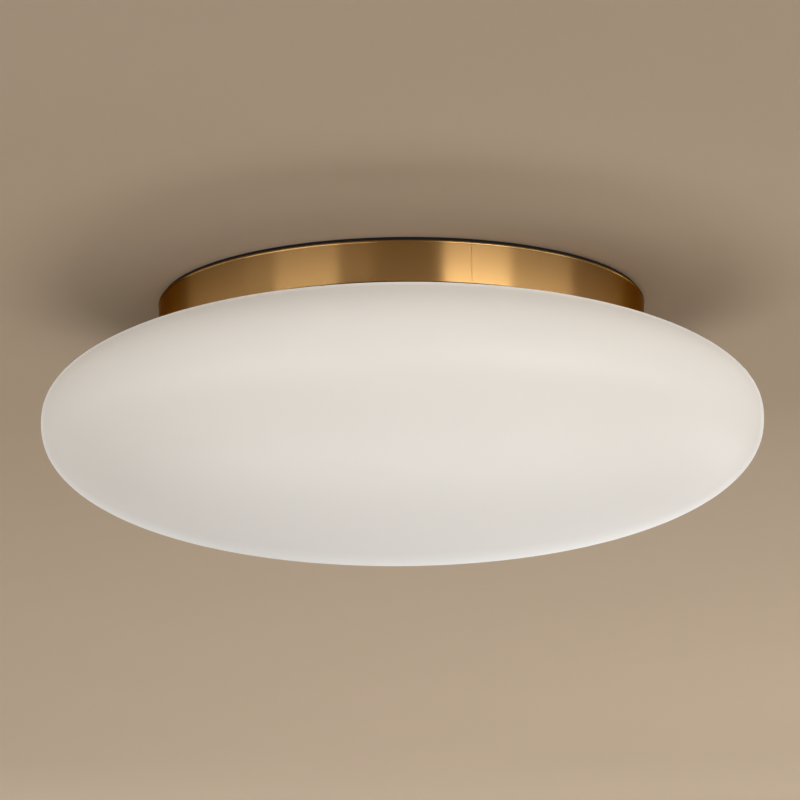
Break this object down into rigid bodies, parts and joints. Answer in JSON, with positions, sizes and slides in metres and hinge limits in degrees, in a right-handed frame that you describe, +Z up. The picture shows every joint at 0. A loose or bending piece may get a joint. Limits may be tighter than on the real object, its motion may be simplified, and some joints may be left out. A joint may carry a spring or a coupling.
{
  "type": "flush mount ceiling light",
  "caption": "Flush mount ceiling light with an oblate satin opal glass shade held by spring clips under a low brushed brass band, LED light source inside.",
  "frame": {"origin": "centre of the gasket's upper face, in the plane of the ceiling", "axes": "+Z up into the ceiling, -Y the front, +X to the right seen from the front below"},
  "size_m": [0.3999, 0.4, 0.1371],
  "materials": {
    "opal_glass": "satin opal, fire-polished rim",
    "brushed_brass": "brushed round the band, clear lacquer",
    "white_steel": "white powder coat",
    "foam": "closed-cell foam",
    "silicone": "translucent white silicone",
    "spring_steel": "bright",
    "zinc_steel": "zinc plated",
    "tinned_copper": "tin plated",
    "black_rubber": "matt",
    "aluminium_plate": "mill finish",
    "board_white": "white solder resist",
    "led_phosphor": "yellow phosphor in white packages",
    "connector_white": "moulded",
    "driver_white": "fine spark-eroded grain",
    "circuit_green": "solder resist",
    "terminal_grey": "moulded",
    "button_brown": "moulded",
    "button_blue": "moulded",
    "button_green": "moulded",
    "lead_brown": "lead sheath",
    "lead_blue": "lead sheath",
    "lead_green_yellow": "green and yellow lead sheath",
    "lead_red": "lead sheath",
    "lead_black": "lead sheath",
    "saddle_nylon": "natural nylon"
  },
  "bodies": {
    "root": {"trim_ring": "brushed_brass", "seam_strap": "brushed_brass", "base_pan": "white_steel", "ceiling_gasket": "foam", "rim_pads": "silicone", "spring_clips": "spring_steel", "standoffs": "zinc_steel", "plate_screws": "zinc_steel", "earth_screw": "zinc_steel", "earth_washer": "zinc_steel", "earth_ring_terminal": "tinned_copper", "cable_grommet": "black_rubber", "led_plate": "aluminium_plate", "led_board": "board_white", "led_chips": "led_phosphor", "board_connector": "connector_white", "driver_base": "driver_white", "driver_cover": "driver_white", "driver_board": "circuit_green", "terminal_block": "terminal_grey", "live_lead": "lead_brown", "neutral_lead": "lead_blue", "earth_lead": "lead_green_yellow", "led_plus_lead": "lead_red", "led_minus_lead": "lead_black", "lead_saddle": "saddle_nylon"},
    "shade": {"glass_shade": "opal_glass"},
    "live_button_body": {"live_button": "button_brown"},
    "neutral_button_body": {"neutral_button": "button_blue"},
    "earth_button_body": {"earth_button": "button_green"}
  },
  "joints": [
    {"name": "shade_drop", "type": "slide", "parent": "root", "child": "shade", "axis": [0, 0, -1], "range_m": [0, 0.1], "deforming": ["spring_clips"]},
    {"name": "live_press", "type": "slide", "parent": "root", "child": "live_button_body", "axis": [0, 0, 1], "range_m": [0, 0.0015], "stiffness_N_per_m": 1500, "springref_m": -0.0005},
    {"name": "neutral_press", "type": "slide", "parent": "root", "child": "neutral_button_body", "axis": [0, 0, 1], "range_m": [0, 0.0015], "stiffness_N_per_m": 1500, "springref_m": -0.0005},
    {"name": "earth_press", "type": "slide", "parent": "root", "child": "earth_button_body", "axis": [0, 0, 1], "range_m": [0, 0.0015], "stiffness_N_per_m": 1500, "springref_m": -0.0005}
  ]
}
